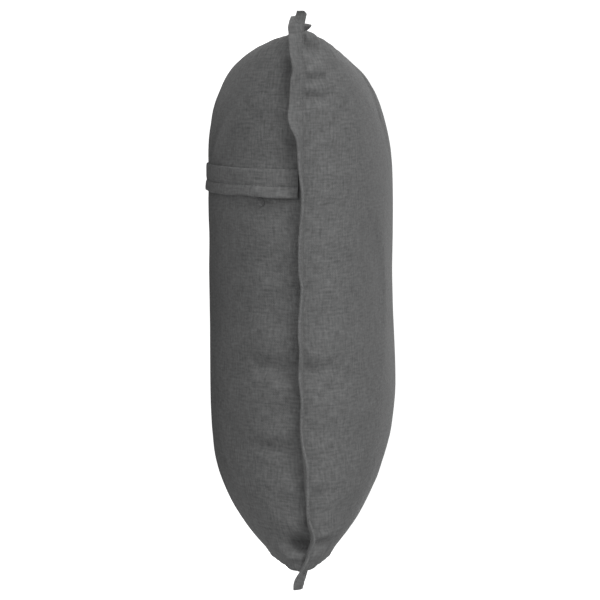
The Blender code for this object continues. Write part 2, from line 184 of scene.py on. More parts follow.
def half_width_at(v):
    """Half the seam's width at height v: full at the corners, drawn in by a bow between."""
    return HALF_SEAM_WIDTH - SHORT_SIDE_DRAW_IN * (1.0 - np.abs(v) ** DRAW_IN_SHAPE)


def half_height_at(u):
    """Half the seam's height at width u: full at the corners, drawn in by a bow between."""
    return HALF_SEAM_HEIGHT - LONG_SIDE_DRAW_IN * (1.0 - np.abs(u) ** DRAW_IN_SHAPE)


def seam_z(u, v):
    """Height of the seam line: level, plus its sways to the front.

    A power of |u| or |v| keeps each sway to its own side, a higher one the near bend.
    """
    short_side = SHORT_SIDE_SWAY * (1.0 - v * v)
    climb = np.clip((v - CLIMB_START) / (1.0 - CLIMB_START), 0.0, 1.0)
    top_corner = TOP_CORNER_SWAY * climb ** CLIMB_POWER
    humps = bells(v, BOTH_SIDES_HUMPS) + np.where(u < 0.0, bells(v, NEAR_SIDE_HUMPS), 0.0)
    long_side = LONG_SIDE_SWAY * np.abs(v) ** SWAY_POWER * (1.0 - u * u)
    bend = np.maximum(-u, 0.0) ** BEND_POWER * read_table(v, NEAR_SEAM_BEND, BEND_ROUNDING)
    short_side = short_side + top_corner + humps
    return BACK_DEPTH + np.abs(u) ** SWAY_POWER * short_side + long_side + bend


def fill_across(u):
    """Share of the full thickness at width u: (1 - |u|^squareness + ease)^rounding.

    It is shifted and scaled to run from 0 to 1. The ease lets the panel leave the seam
    at a slant and not upright.
    """
    arch = np.maximum(1.0 - np.abs(u) ** WIDTH_SQUARENESS, 0.0)
    low, high = SEAM_EASE ** WIDTH_ROUNDING, (1.0 + SEAM_EASE) ** WIDTH_ROUNDING
    return ((arch + SEAM_EASE) ** WIDTH_ROUNDING - low) / (high - low)


def fill_along(v, panel):
    """Share of the full thickness at height v: (1 - |v|^squareness)^rounding, trimmed."""
    squareness = np.where(v > 0.0, TOP_SQUARENESS, BOTTOM_SQUARENESS)
    rounding = np.where(v > 0.0, TOP_ROUNDING[panel], BOTTOM_ROUNDING[panel])
    arch = np.maximum(1.0 - np.abs(v) ** squareness, 0.0) ** rounding
    return arch * read_table(v, TRIM_ROWS, TRIM_SOFTNESS, TRIM_COLUMNS.index(panel))


def flattened(depth):
    """1 less depth, held at 0 past 1, with a short parabola between the two."""
    change = (1.0 + REST_SOFTNESS - depth) ** 2 / (4.0 * REST_SOFTNESS)
    low = np.where(depth < 1.0 + REST_SOFTNESS, change, 0.0)
    return np.where(depth < 1.0 - REST_SOFTNESS, 1.0 - depth, low)


def smooth_panel(u, v, panel, slack=0.0):
    """Points of one panel without folds.

    x and y are the drawn-in seam rectangle. z leaves the seam by the product of the two
    arches. The back's is overfilled and pressed level where the cushion rests, and
    stands off that level above its middle, by the flap's thickness. Slack takes that
    share off the thickness.
    """
    x = u * half_width_at(v)
    y = v * half_height_at(u)
    fill = fill_across(u) * fill_along(v, panel)
    seam = seam_z(u, v)
    if panel == "front":
        z = seam + SEAM_PINCH + (FRONT_CROWN - SEAM_PINCH) * fill * (1.0 - slack)
    else:
        lift = FLAP_LIFT * smooth_step(y, LIFT_START, LIFT_LENGTH)
        rise = 1.0 - (1.0 - flattened(BACK_FULLNESS * fill)) * (1.0 - slack)
        z = lift + (seam - SEAM_PINCH - lift) * rise
    return np.stack([x, y, z], axis=-1)


def stations(count, crowding, along_width):
    """Places from -1 to 1 at even steps of cloth, a little closer together near the seams.

    The step of cloth is t - crowding * sin(2 pi t) / (2 pi), t even from 0 to 1, and the
    cloth's length is summed along the panel's middle line.
    """
    fine = np.sin(np.linspace(-0.5, 0.5, FINE_STEPS + 1) * math.pi)
    middle = np.zeros_like(fine)
    line = smooth_panel(fine, middle, "front") if along_width else smooth_panel(middle, fine, "front")
    length = length_along(line)
    even = np.linspace(0.0, 1.0, count + 1)
    even = even - crowding * np.sin(2.0 * math.pi * even) / (2.0 * math.pi)
    places = np.interp(even * length[-1], length, fine)
    places[0], places[-1] = -1.0, 1.0
    return places


def panel_grid(steps, crowding):
    """The u and v of a panel's grid, u along the first axis."""
    across, along = stations(steps[0], crowding, True), stations(steps[1], crowding, False)
    return np.meshgrid(across, along, indexing="ij")


def panel_normals(u, v, panel):
    """Unit normals of a smooth panel just inside its seam, from small steps of u and v."""
    nearest = 1.0 - 2.0 * NORMAL_STEP
    u, v = np.clip(u, -nearest, nearest), np.clip(v, -nearest, nearest)
    along_u = smooth_panel(u + NORMAL_STEP, v, panel) - smooth_panel(u - NORMAL_STEP, v, panel)
    along_v = smooth_panel(u, v + NORMAL_STEP, panel) - smooth_panel(u, v - NORMAL_STEP, panel)
    return unit(np.cross(along_u, along_v) * (1.0 if panel == "front" else -1.0))


def cloth_lengths(points):
    """Length of cloth from each of the four seams to every point, summed along the grid."""
    near, bottom = length_along(points), length_along(points.swapaxes(0, 1)).T
    return {"near": near, "far": near[-1:] - near, "bottom": bottom, "top": bottom[:, -1:] - bottom}


# Meshes

def grid_quads(index):
    """Quads between the neighbours of a grid of vertex numbers."""
    corners = [index[:-1, :-1], index[1:, :-1], index[1:, 1:], index[:-1, 1:]]
    return np.stack(corners, axis=-1).reshape(-1, 4)


def put_in_scene(name, data):
    """A new object of the scene that shows the data."""
    made = bpy.data.objects.new(name, data)
    bpy.context.scene.collection.objects.link(made)
    return made


def mesh_piece(name, points, faces, material=None):
    """A smooth-shaded mesh object from a list of points and a list of faces."""
    mesh = bpy.data.meshes.new(name)
    mesh.from_pydata(points, [], faces)
    if material:
        mesh.materials.append(material)
    mesh.shade_smooth()
    return put_in_scene(name, mesh)


def cloth_piece(name, points, faces, cloth, rim, material):
    """A mesh object from lists of arrays: points, faces, their UV map and attribute.

    The UV map "cloth" is in metres of cloth, so that the weave keeps its scale, and the
    attribute "rim" is 1 at the outer edge of the flange or the free edge of the flap, where
    the cloth is painted lighter as a painted highlight.
    """
    piece = mesh_piece(name, np.concatenate(points).tolist(), np.concatenate(faces).tolist(), material)
    mesh = piece.data
    corners = np.empty(len(mesh.loops), np.int32)
    mesh.loops.foreach_get("vertex_index", corners)
    layer = mesh.uv_layers.new(name="cloth")
    layer.data.foreach_set("uv", np.concatenate(cloth)[corners].astype(np.float32).ravel())
    # This attribute carries the painted highlight of the edges
    rim_highlight_layer = mesh.attributes.new("rim", "FLOAT", "POINT")
    rim_highlight_layer.data.foreach_set("value", np.concatenate(rim).astype(np.float32))
    mesh.validate()
    return piece


def close_up(piece, faces, smooth):
    """Add the faces that close a piece, smooth or flat, and turn all its faces outwards."""
    shell = bmesh.new()
    shell.from_mesh(piece.data)
    shell.verts.ensure_lookup_table()
    for corners in faces:
        shell.faces.new([shell.verts[corner] for corner in corners]).smooth = smooth
    bmesh.ops.recalc_face_normals(shell, faces=shell.faces)
    shell.to_mesh(piece.data)
    shell.free()


# Settling of the cover by Blender's cloth simulation

SETTLE_FRAMES = 20
SETTLE_SLACK = 0.03
SETTLE_CLOTH = {
    "quality": 6,
    "mass": 0.25,
    "tension_stiffness": 20.0,
    "compression_stiffness": 12.0,
    "shear_stiffness": 6.0,
    "bending_stiffness": 0.15,
    "use_pressure": True,
    "uniform_pressure_force": 4.0,
    "shrink_min": -0.035,
    "vertex_group_mass": "seam",
}
SETTLE_CAP = 0.026
WRINKLE_PASSES = 100
WRINKLE_STRENGTH = 0.55
WRINKLE_CAP = 0.0012
# The corners are taut: from where, over what length it grows, and the share of the
# wrinkles that it takes away
TAUT_ACROSS = (0.45, 0.20)
TAUT_ALONG = (0.70, 0.15)
TAUT_SHARE = 0.85


def settled_cover(start, faces, pinned):
    """Points of the cover after the cloth simulation, which is then gone from the scene.

    The cover has spare cloth, is held at its seam and is filled by an even pressure.
    """
    cover = mesh_piece("settling_cover", start.tolist(), faces.tolist())
    cover.vertex_groups.new(name="seam").add(pinned.tolist(), 1.0, "REPLACE")
    cloth = cover.modifiers.new("settle", "CLOTH")
    for setting, value in SETTLE_CLOTH.items():
        setattr(cloth.settings, setting, value)
    cloth.settings.effector_weights.gravity = 0.0
    cloth.collision_settings.use_collision = False
    scene = bpy.context.scene
    for moment in range(1, SETTLE_FRAMES + 1):
        scene.frame_set(moment)
    bpy.ops.object.select_all(action="DESELECT")
    cover.select_set(True)
    bpy.context.view_layer.objects.active = cover
    bpy.ops.object.modifier_apply(modifier=cloth.name)
    settled = np.empty(len(cover.data.vertices) * 3, np.float32)
    cover.data.vertices.foreach_get("co", settled)
    scene.frame_set(1)
    bpy.data.objects.remove(cover, do_unlink=True)
    return settled.reshape(-1, 3).astype(float)


def softened(field, axis):
    """The grid field averaged along one axis with its neighbours, 1 2 1, many times."""
    field = np.moveaxis(field, axis, 0)
    for _ in range(WRINKLE_PASSES):
        wide = np.concatenate([field[:1], field, field[-1:]])
        field = (wide[:-2] + 2.0 * wide[1:-1] + wide[2:]) / 4.0
    return np.moveaxis(field, 0, axis)


def wrinkles_alone(height, u, v):
    """The height less its mean along the nearer seam, so that only wrinkles are left.

    Wrinkles run away from a seam, so they vary along it, and the swelling doesn't. They
    are held and they fade where the corners are pulled taut.
    """
    from_short = 1.0 - np.abs(u)
    from_long = (1.0 - np.abs(v)) * HALF_SEAM_HEIGHT / HALF_SEAM_WIDTH
    near_long = from_short / np.maximum(from_short + from_long, 1e-9)
    height = near_long * (height - softened(height, 0)) + (1.0 - near_long) * (height - softened(height, 1))
    corner = smooth_step(np.abs(u), *TAUT_ACROSS) * smooth_step(np.abs(v), *TAUT_ALONG)
    return WRINKLE_CAP * np.tanh(WRINKLE_STRENGTH * height / WRINKLE_CAP) * (1.0 - TAUT_SHARE * corner)


def settled_wrinkles():
    """For each panel, the u and v of a coarse grid and the height of its wrinkles there.

    They are read from the settled cover's move along the normals, which is capped. The
    panel keeps its own fill. Both panels share the vertices of their outer row.
    """
    u, v = panel_grid(SETTLE_STEPS, SETTLE_CROWDING)
    columns, rows = u.shape
    front = np.arange(u.size).reshape(columns, rows)
    back = front.copy()
    back[1:-1, 1:-1] = u.size + np.arange((columns - 2) * (rows - 2)).reshape(columns - 2, rows - 2)
    faces = np.concatenate([grid_quads(front), grid_quads(back)[:, ::-1]])
    points = np.empty((back.max() + 1, 3))
    points[back] = smooth_panel(u, v, "back", SETTLE_SLACK)
    points[front] = smooth_panel(u, v, "front", SETTLE_SLACK)
    edge = np.ones(u.shape, bool)
    edge[1:-1, 1:-1] = False
    points[front[edge], 2] = seam_z(u, v)[edge]
    settled = settled_cover(points, faces, front[edge])
    wrinkles = {}
    for panel, index in (("front", front), ("back", back)):
        move = settled[index] - points[index]
        size = np.linalg.norm(move, axis=-1, keepdims=True)
        move *= np.minimum(1.0, SETTLE_CAP / np.maximum(size, 1e-9))
        height = (move * panel_normals(u, v, panel)).sum(axis=-1)
        height[edge] = 0.0
        wrinkles[panel] = wrinkles_alone(height, u, v)
    return u[:, 0], v[0], wrinkles


def resampling(places, wanted):
    """Matrix that reads a row of values, given at places, at the wanted places.

    Each wanted value is a cubic through the four nearest given ones.
    """
    at = np.interp(wanted, places, np.arange(len(places)))
    cell = np.clip(np.floor(at).astype(int), 0, len(places) - 2)
    t = at - cell
    weights = (
        -0.5 * t + t ** 2 - 0.5 * t ** 3,
        1.0 - 2.5 * t ** 2 + 1.5 * t ** 3,
        0.5 * t + 2.0 * t ** 2 - 1.5 * t ** 3,
        -0.5 * t ** 2 + 0.5 * t ** 3,
    )
    matrix = np.zeros((len(wanted), len(places)))
    row = np.arange(len(wanted))
    for offset, weight in zip((-1, 0, 1, 2), weights):
        np.add.at(matrix, (row, np.clip(cell + offset, 0, len(places) - 1)), weight)
    return matrix


# Creases, listed for each side and panel, in millimetres: place along the side, start
# and end as lengths of cloth from the seam, width and depth, which makes a low ridge
# where it is below 0. The last number is the slant: sideways shift for a length of 1.
CREASES = {
    ("near", "front"): (
        (174.5, -2, 13, 5.6, -2.2, 0), (166, 0, 13, 3, 0.4, -0.1), (145.5, 0, 18, 3.4, 2.5, 0.12),
        (135.5, 0, 15, 3.2, 2.6, -0.05), (113, 2, 22, 4, 1, 0.1), (45, 0, 14, 3, 0.7, -0.2),
        (6, 0, 18, 3.4, 0.8, 0.15), (-45.5, 0, 24, 3.8, 3.4, 0.06), (-85, 0, 15, 3.2, 0.8, -0.12),
        (-128.5, 1, 16, 3, 2, 0.1), (-152, 0, 14, 2.8, 1.8, 0.2), (-160, 0, 14, 3.4, 2.2, 0.1),
    ),
    ("near", "back"): (
        (152, 0, 16, 3.4, 1, 0.1), (150, 0, 12, 12, 3.2, 0), (100, 0, 10, 10, 2.4, 0),
        (120, 2, 20, 4, 0.8, -0.1), (2.5, 5, 21, 3.2, 1.4, 0.05), (-45.5, 2, 36, 4.6, 3, 0.08),
        (-56, 0, 14, 3, 0.8, 0.3), (-97.5, 4, 38, 4.2, 2.6, 0.05), (-129, 1, 16, 3, 0.9, -0.1),
        (-161, 0, 14, 3.6, 5.6, 0.04), (-157, 0, 15, 5.6, 3.6, 0),
    ),
    ("far", "front"): (
        (150, 0, 18, 3.2, 1.6, 0.1), (90, 0, 22, 4, 1.2, -0.1), (30, 1, 18, 3.4, 1.4, 0.05),
        (-35, 0, 26, 4.2, 1.7, -0.08), (-108, 1, 17, 3.2, 1.2, 0.12), (-150, 0, 14, 2.8, 1.6, 0.1),
    ),
    ("far", "back"): (
        (135, 0, 20, 3.6, 1.4, 0.1), (21, 2, 24, 4, 1.5, -0.1), (-70, 1, 28, 4.4, 1.8, 0.1),
        (-142, 0, 18, 3, 1.3, -0.1),
    ),
    ("top", "front"): (
        (-255, 0, 12, 3.4, 0.8, -0.15), (-215, 1, 12, 3.8, 0.6, 0.1), (-150, 0, 24, 5, 1.2, 0.2),
        (-85, 0, 18, 3.8, 1, -0.1), (-22, 1, 34, 5.2, 1.8, 0.05), (48, 0, 20, 4, 1.1, 0.15),
        (106, 0, 30, 5, 1.8, -0.15), (175, 1, 18, 3.6, 1.2, 0.1), (233, 0, 22, 4, 1.6, -0.1),
    ),
    ("top", "back"): (
        (-235, 0, 14, 3.8, 0.8, 0.1), (-130, 0, 26, 4.4, 1.4, -0.1), (-40, 1, 22, 4, 1.2, 0.1),
        (70, 0, 28, 4.6, 1.6, 0.05), (180, 0, 20, 3.8, 1.4, -0.15),
    ),
    ("bottom", "front"): (
        (-245, 0, 12, 3.4, 0.7, 0.1), (-190, 1, 20, 4.4, 1, -0.2), (-96, 0, 36, 5.4, 2, 0.1),
        (-30, 0, 20, 4, 1.1, -0.05), (51, 1, 34, 5.2, 1.9, 0.1), (120, 0, 20, 4, 1.2, -0.15),
        (206, 0, 28, 4.6, 1.8, 0.1), (260, 1, 14, 3.2, 1.2, 0.05),
    ),
    ("bottom", "back"): (
        (-225, 0, 16, 4, 0.7, -0.1), (-155, 0, 30, 4.8, 1.8, 0.15), (-60, 1, 22, 4, 1.2, -0.1),
        (16, 0, 34, 5.2, 1.8, 0.1), (106, 0, 22, 4.2, 1.3, -0.1), (178, 1, 28, 4.6, 1.7, 0.1),
    ),
}
CREASE_SHOULDER = 0.38
SHOULDER_PLACE = 2.0
CREASE_EASE = 0.35
# For each side, the axis along it and the shift of its puckers. Then the puckers' waves:
# share, length and how much of the shift they take.
SIDES = {"near": (1, 0.3), "far": (1, 1.9), "top": (0, 4.2), "bottom": (0, 5.6)}
PUCKER_WAVES = ((0.50, 0.0113, 1.0), (0.30, 0.0167, 2.1), (0.35, 0.0307, 3.7))
PUCKER_REACH = 0.0085
PUCKER_DEPTH = 0.00045
FOLD_FADE_FILL = 0.90
FLAP_CALM = 0.006
SEAM_CALM = 0.0015


def crease_heights(points, lengths, panel):
    """Sum of the creases on a panel: how far each point moves out along its normal.

    A crease is a bell-shaped trough with a low shoulder on each side of it. Its depth
    rises and falls with smooth steps between its start and its end.
    """
    height = np.zeros(points.shape[:2])
    for (side, creased), rows in CREASES.items():
        if creased != panel:
            continue
        away, along = lengths[side], points[..., SIDES[side][0]]
        for *lengths_mm, slant in rows:
            place, start, end, width, depth = (length / 1000 for length in lengths_mm)
            offset = (along - place - slant * away) / width
            shoulders = CREASE_SHOULDER * bell(np.abs(offset), SHOULDER_PLACE, 1.0)
            trough = bell(offset, 0.0, 1.0) - shoulders
            ease = CREASE_EASE * (end - start)
            window = smooth_step(away, start - ease / 2, ease)
            window *= smooth_step(end + ease - away, 0.0, 2.0 * ease)
            height -= depth * trough * window
    return height


def seam_puckers(points, lengths):
    """Fine uneven gathers beside the seam: three waves along it that fade up the panel."""
    height = np.zeros(points.shape[:2])
    for side, (axis, shift) in SIDES.items():
        turn = 2 * math.pi * points[..., axis]
        wave = sum(share * np.sin(turn / length + part * shift) for share, length, part in PUCKER_WAVES)
        away = lengths[side] / PUCKER_REACH
        height += PUCKER_DEPTH * wave * away * np.exp(1.0 - away)
    return height


def folded_panel(u, v, panel, settled):
    """Points of a panel with its settled wrinkles, creases and gathers.

    They are added along the normals. Nothing is added where the cushion rests or under
    the flap, and no point goes below the surface that it rests on.
    """
    points = smooth_panel(u, v, panel)
    lengths = cloth_lengths(points)
    height = crease_heights(points, lengths, panel) + seam_puckers(points, lengths)
    if settled is not None:
        coarse_u, coarse_v, wrinkles = settled
        read_u, read_v = resampling(coarse_u, u[:, 0]), resampling(coarse_v, v[0])
        height += read_u @ wrinkles[panel] @ read_v.T
    if panel == "back":
        fill = BACK_FULLNESS * fill_across(u) * fill_along(v, panel)
        height *= 1.0 - smooth_step(fill, FOLD_FADE_FILL, 1.0 + REST_SOFTNESS - FOLD_FADE_FILL)
        flap_middle = FLAP_LOWER_EDGE + FLAP_WIDTH / 2 - FLAP_DROOP * np.abs(u) ** 3
        height *= smooth_step(np.abs(points[..., 1] - flap_middle), FLAP_WIDTH / 2, FLAP_CALM)
    height *= smooth_step(np.minimum.reduce(list(lengths.values())), 0.0, SEAM_CALM)
    points = points + height[..., None] * panel_normals(u, v, panel)
    for side, inwards in (("near", 1.0), ("far", -1.0)):
        shift = bells(points[..., 1], GATHERS[side]) * bell(lengths[side], 0.0, GATHER_FADE)
        points[..., 0] += inwards * shift
    points[..., 2] = np.maximum(points[..., 2], 0.0)
    return points


# The flange: how far it leans to the back, in degrees, at places along a side
NEAR_SIDE_LEAN = (
    (0.1775, 55), (0.175, 45), (0.172, 46), (0.167, 47), (0.1567, 35), (0.1515, 27), (0.145, 39),
    (0.1306, 44), (0.1228, 51), (0.1175, 46), (0.1137, 35), (0.1097, 20), (0.104, 14), (0.094, 12),
    (0.0834, 7), (0.0728, -1), (0.062, -1), (0.0517, 4), (0.041, 9), (0.02, 9), (0.0094, -1),
    (-0.0013, 4), (-0.012, 9), (-0.0225, 9), (-0.033, 4), (-0.049, 9), (-0.065, -1), (-0.0806, 3),
    (-0.0945, 0), (-0.102, -6), (-0.11, -10), (-0.119, -7), (-0.128, -3), (-0.139, 1), (-0.144, -5),
    (-0.149, -11), (-0.1535, -8), (-0.1575, -5), (-0.1615, 0), (-0.166, 3), (-0.169, 10),
    (-0.1725, 26), (-0.1775, 30),
)
TOP_SIDE_LEAN = (
    (-0.2875, -13), (-0.27, -13), (-0.256, -8), (-0.246, 10), (-0.241, -8), (-0.2375, -52),
    (-0.234, -52), (-0.228, -44), (-0.22, -30), (-0.21, -6), (-0.195, 2), (-0.15, 12), (-0.1, -2),
    (-0.05, -8), (0, 6), (0.05, 14), (0.1, 2), (0.15, -8), (0.2, 4), (0.25, 12), (0.2875, 10),
)
BOTTOM_SIDE_LEAN = (
    (-0.2875, -4), (-0.27, -3), (-0.245, -7), (-0.21, -14), (-0.17, 6), (-0.125, 15), (-0.07, 4),
    (-0.02, -6), (0.035, 8), (0.08, 16), (0.13, 5), (0.175, -8), (0.22, 3), (0.26, 14), (0.2875, 18),
)
LEAN_ROUNDING = 0.0020
# The far side's lean: mean, depth, waves and shift
FAR_SIDE_WAVE = (8, 14, 4.5, 0.4)
# How far the top side's edge stands above its plain width, beside the near ear
TOP_SIDE_RISE = (
    (-0.252, 0), (-0.244, -0.0028), (-0.241, -0.0028), (-0.236, 0.002), (-0.229, 0),
)
FLANGE_BEND = 0.15
# Rows of the flange from its stitched root to its edge: place across it and share of its
# half thickness
FLANGE_ROWS = (
    (0.07, 1), (0.2, 1.05), (0.42, 1.05), (0.6, 1), (0.65, 1), (0.69, 1), (0.73, 1), (0.8, 1),
    (0.88, 1), (0.96, 0.8), (1, 0),
)
# How the rim's painted highlight grows towards the flange's edge: a power of the place across
RIM_POWER = 4
# The flange's corners: signs of X and Y, and how square the corner is. Then a part of its
# edge: its place round the corner from the long side and its breadth, how flat its bell
# is, factors of its reach along X and along Y, and its curl outwards along X, inwards
# where it is below 0. The last column is how far the curl climbs to the front. Angles
# are in degrees.
EARS = (
    (-1, 1, 4, 38.2, 4.4, 12, 1.08, 1.72, 78, -9), (-1, 1, 4, 33, 4.5, 2, 1, 0.84, 0, -9),
    (-1, 1, 4, 50, 8, 4, 1.14, 1, 0, -9), (-1, -1, 6, 40, 45, 2, 1.03, 1.03, -30, 32),
    (1, 1, 5, 45, 20, 2, 1.08, 1.08, 45, 32), (1, -1, 6, 50, 25, 2, 1, 1, -35, 32),
)
EAR_SPREAD = 2.5
CURL_START = 0.64
CURL_EASE = 0.08
CURL_SHARE = 0.95
CURL_THINNING = 0.65
MITRE_POWER = 14


def far_lean(place):
    """Lean in degrees along the far side: a mean and two waves of unlike length."""
    mean, depth, waves, shift = FAR_SIDE_WAVE
    turn = math.pi * waves * place + shift
    return mean + depth * (0.7 * np.sin(turn) + 0.3 * np.sin(2.3 * turn))


def rim_order(shape):
    """Grid places of a panel's outer row, in order round it from the low near corner."""
    index = np.arange(shape[0] * shape[1]).reshape(shape)
    rim = [index[:-1, 0], index[-1, :-1], index[:0:-1, -1], index[0, :0:-1]]
    return np.unravel_index(np.concatenate(rim), shape)


def ear_values(rim_u, rim_v, way_x, way_y):
    """For each station of the rim: its corner's squareness, reach, rise, curl and climb."""
    angle = np.degrees(np.arctan2(way_x, way_y))
    squareness, reach, rise = np.ones((3, len(rim_u)))
    curl, climb = np.zeros((2, len(rim_u)))
    corner = smooth_step(EAR_SPREAD * np.minimum(way_x, way_y) / np.maximum(way_x, way_y))
    for end, side, square, place, breadth, flatness, further_out, further_up, turn, slope in EARS:
        here = (rim_u * end >= 0) & (rim_v * side >= 0)
        part = np.exp(-(np.abs((angle - place) / breadth) ** flatness))
        part = np.where(here, part, 0.0) * corner
        squareness = np.where(here, square, squareness)
        reach += (further_out - 1.0) * part
        rise += (further_up - 1.0) * part
        curl += math.radians(turn) * part
        climb = np.where(here, math.radians(slope), climb)
    return squareness, reach, rise, curl, climb


def flange_ways(u, v):
    """For each station of the rim: u, v, its root, its outward way, its curl and climb.

    The way is straight out from the side; towards a corner it fans by a high power of
    the place, so that the edge turns the corner nearly square.
    """
    i, j = rim_order(u.shape)
    rim_u, rim_v = u[i, j], v[i, j]
    root = [rim_u * half_width_at(rim_v), rim_v * half_height_at(rim_u), seam_z(rim_u, rim_v)]
    way_x, way_y = np.abs(rim_u) ** MITRE_POWER, np.abs(rim_v) ** MITRE_POWER
    squareness, reach, rise, curl, climb = ear_values(rim_u, rim_v, way_x, way_y)
    rounder = (way_x ** squareness + way_y ** squareness) ** (1.0 / squareness)
    way_x, way_y = np.sign(rim_u) * way_x * reach / rounder, np.sign(rim_v) * way_y * rise / rounder
    return rim_u, rim_v, np.stack(root, axis=-1), way_x, way_y, curl, climb


def leant_drop(beyond, lean):
    """How far the flange drops to the back at a distance beyond the seam's line.

    It leaves the seam level, bends within the first sixth of its width, and goes on
    straight at its lean.
    """
    share = np.maximum(beyond, 0.0) / (FLANGE_WIDTH * np.cos(lean))
    straight = share - FLANGE_BEND * (1.0 - np.exp(-share / FLANGE_BEND))
    return FLANGE_WIDTH * np.sin(lean) * straight / (1.0 - FLANGE_BEND)


def flange_layers(u, v):
    """Rows of points of the flange's front and back layers, and its stations' ways.

    The middle surface goes out by its way, shortened by the cosine of its lean, and the
    tips of its ears curl. It drops by the lean of each side beyond which it reaches.
    The two layers lie half a thickness off it on either side and meet at the edge.
    """
    rim_u, rim_v, root, way_x, way_y, curl, climb = flange_ways(u, v)
    near_lean = read_table(root[:, 1], NEAR_SIDE_LEAN, LEAN_ROUNDING)
    side_lean = np.radians(np.where(rim_u < 0, near_lean, far_lean(rim_v)))
    top_lean = read_table(root[:, 0], TOP_SIDE_LEAN, LEAN_ROUNDING)
    bottom_lean = read_table(root[:, 0], BOTTOM_SIDE_LEAN, LEAN_ROUNDING)
    end_lean = np.radians(np.where(rim_v > 0, top_lean, bottom_lean))
    edge_rise = np.where(rim_v > 0, read_table(root[:, 0], TOP_SIDE_RISE, LEAN_ROUNDING), 0.0)
    x, y, curled = root[:, 0].copy(), root[:, 1].copy(), np.zeros_like(rim_u)
    middle, passed = [root], 0.0
    for across, _ in FLANGE_ROWS:
        step = (across - passed) * FLANGE_WIDTH
        turned = curl * smooth_step(across, CURL_START, CURL_EASE)
        rise = way_y * np.cos(end_lean) * step
        x = x + way_x * np.cos(side_lean) * step
        y = y + rise * np.cos(turned)
        curled = curled + np.abs(rise) * np.sin(turned)
        drop = leant_drop(np.abs(x) - half_width_at(rim_v), side_lean)
        drop = drop + leant_drop(np.abs(y) - half_height_at(rim_u), end_lean)
        out_x = np.sign(rim_u) * CURL_SHARE * curled * np.cos(climb)
        out_z = CURL_SHARE * curled * np.sin(climb)
        middle.append(np.stack([x + out_x, y + edge_rise * across, root[:, 2] - drop + out_z], axis=-1))
        passed = across
    middle = np.stack(middle)
    near, far = (bells(root[:, 1], GATHERS[side]) for side in ("near", "far"))
    middle[..., 0] += np.where(rim_u < 0, near, -far)
    along = np.roll(middle, -1, axis=1) - np.roll(middle, 1, axis=1)
    normal = unit(np.cross(np.gradient(middle, axis=0), along))
    front, back = [], []
    for number, (across, half) in enumerate(FLANGE_ROWS, start=1):
        thinned = CURL_THINNING * np.abs(np.sin(curl)) * smooth_step(across, CURL_START, CURL_EASE)
        offset = normal[number] * (half * FLANGE_HALF * (1.0 - thinned))[:, None]
        front.append(middle[number] + offset)
        back.append(middle[number] - offset)
    return front, back, np.stack([way_x, way_y], axis=-1)


def cover_piece(settled, material):
    """The whole cover as one closed mesh: both panels and both layers of the flange.

    Its cloth map is measured from each panel's middle. Returns the piece and the layers.
    """
    u, v = panel_grid(COVER_STEPS, COVER_CROWDING)
    i, j = rim_order(u.shape)
    front_rows, back_rows, outward = flange_layers(u, v)
    points, faces, cloth, rim = [], [], [], []
    count, edge = 0, None
    for panel, layers in (("front", front_rows), ("back", back_rows)):
        lengths = cloth_lengths(smooth_panel(u, v, panel))
        flat = np.stack([lengths["near"] - lengths["far"], lengths["bottom"] - lengths["top"]], axis=-1) / 2
        index = np.arange(u.size).reshape(u.shape) + count
        points.append(folded_panel(u, v, panel, settled).reshape(-1, 3))
        cloth.append(flat.reshape(-1, 2))
        rim.append(np.zeros(u.size))
        count += u.size
        rings = [index[i, j]]
        for (across, _), layer in zip(FLANGE_ROWS, layers):
            if panel == "back" and across == 1.0:
                rings.append(edge)
                continue
            rings.append(np.arange(len(i)) + count)
            points.append(layer)
            cloth.append(flat[i, j] + outward * across * FLANGE_WIDTH)
            rim.append(np.full(len(i), across ** RIM_POWER))
            count += len(i)
        edge = rings[-1]
        band = np.stack([np.append(ring, ring[0]) for ring in rings], axis=1)
        quads = np.concatenate([grid_quads(index), grid_quads(band)[:, ::-1]])
        faces.append(quads if panel == "front" else quads[:, ::-1])
    return cloth_piece("cushion_cover", points, faces, cloth, rim, material), (front_rows, back_rows)


# The flap over the closure. Its section from the sewn edge to the free edge: place
# across it and height, as a share of its thickness. Then the places of its underside,
# on the way back.
FLAP_PROFILE = (
    (0, 0), (0.004, 0.3), (0.018, 0.62), (0.045, 0.86), (0.09, 0.98), (0.18, 1), (0.3, 1),
    (0.42, 0.99), (0.5, 0.94), (0.55, 0.8), (0.58, 0.6), (0.6, 0.5), (0.62, 0.6), (0.65, 0.8),
    (0.7, 0.96), (0.78, 1), (0.87, 1), (0.93, 0.95), (0.97, 0.8), (0.992, 0.55), (1, 0.28),
)
FLAP_UNDERSIDE = (1.0, 0.97, 0.9, 0.8, 0.7, 0.6, 0.5, 0.35, 0.2, 0.08)
FLAP_MEASURED_ROW = 5
FLAP_STITCH_PLACE = 0.60
FLAP_GROOVE = 0.50
FLAP_END_GAP = 0.0012
FLAP_GAPE_HEIGHT = 0.0020
FLAP_GAPE_START = 0.45
FLAP_EDGE_LIFT = 0.0008
FLAP_GAPE_CENTRE = 0.017
FLAP_GAPE_REACH = 0.016
# How the rim's painted highlight grows towards the flap's free edge: a power of the place across
FLAP_RIM_POWER = 12
# Waves of the flap's free edge: depth, waves over half the width and shift
FLAP_WANDER = ((0.0004, 3.1, 0.6), (0.0003, 7.3, 0.0))


def flap_gape(near_length, across):
    """How far the free edge stands off the back: a little, and more near the near end."""
    lift = FLAP_EDGE_LIFT + FLAP_GAPE_HEIGHT * bell(near_length, FLAP_GAPE_CENTRE, FLAP_GAPE_REACH)
    return lift * smooth_step(across, FLAP_GAPE_START, 1.0 - FLAP_GAPE_START)


